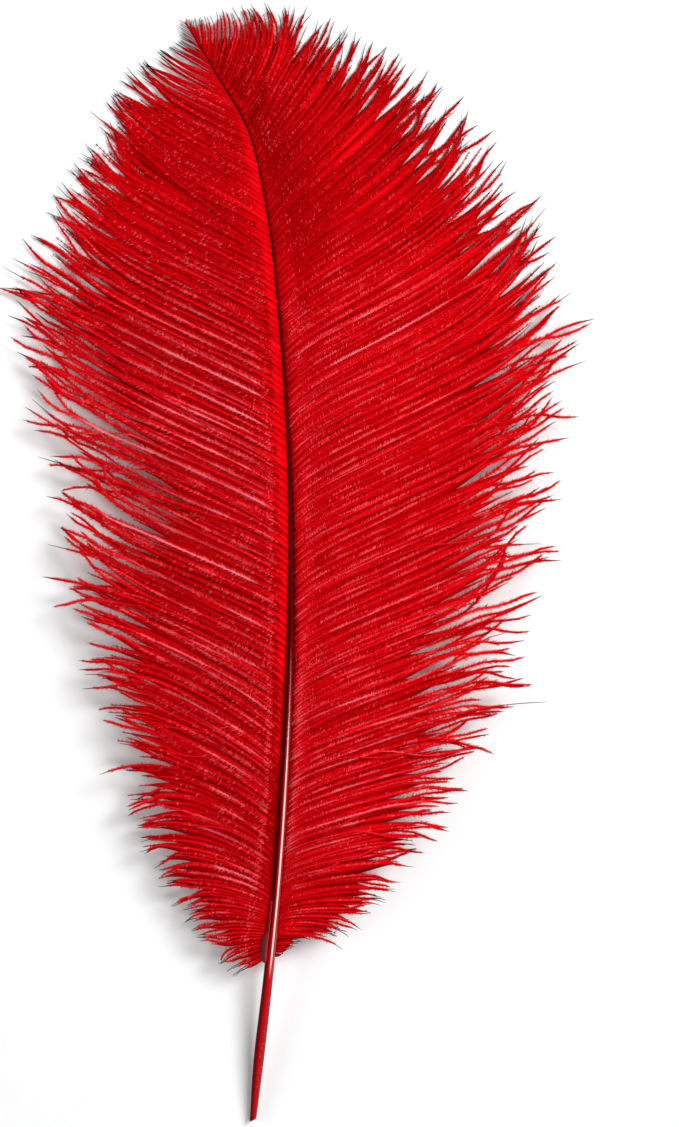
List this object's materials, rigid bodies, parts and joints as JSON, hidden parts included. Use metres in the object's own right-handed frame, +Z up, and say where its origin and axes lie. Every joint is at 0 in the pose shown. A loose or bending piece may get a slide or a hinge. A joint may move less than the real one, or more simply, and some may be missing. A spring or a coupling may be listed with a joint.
{
  "type": "ostrich feather",
  "caption": "Full ostrich plume dyed scarlet, with a bare quill, a gently curved shaft and two wide fluffy vanes of barbs, lying flat.",
  "frame": {"origin": "on the resting surface, under the middle of the feather's box", "axes": "+X to the feather's right seen from above with its tip away, +Y from the quill towards the tip, +Z up"},
  "size_m": [0.2196, 0.4324, 0.0212],
  "materials": {
    "dyed_feather": "soft dyed barbs with a silky sheen, and a glossy round shaft"
  },
  "bodies": {
    "root": {"feather": "dyed_feather"}
  },
  "joints": []
}
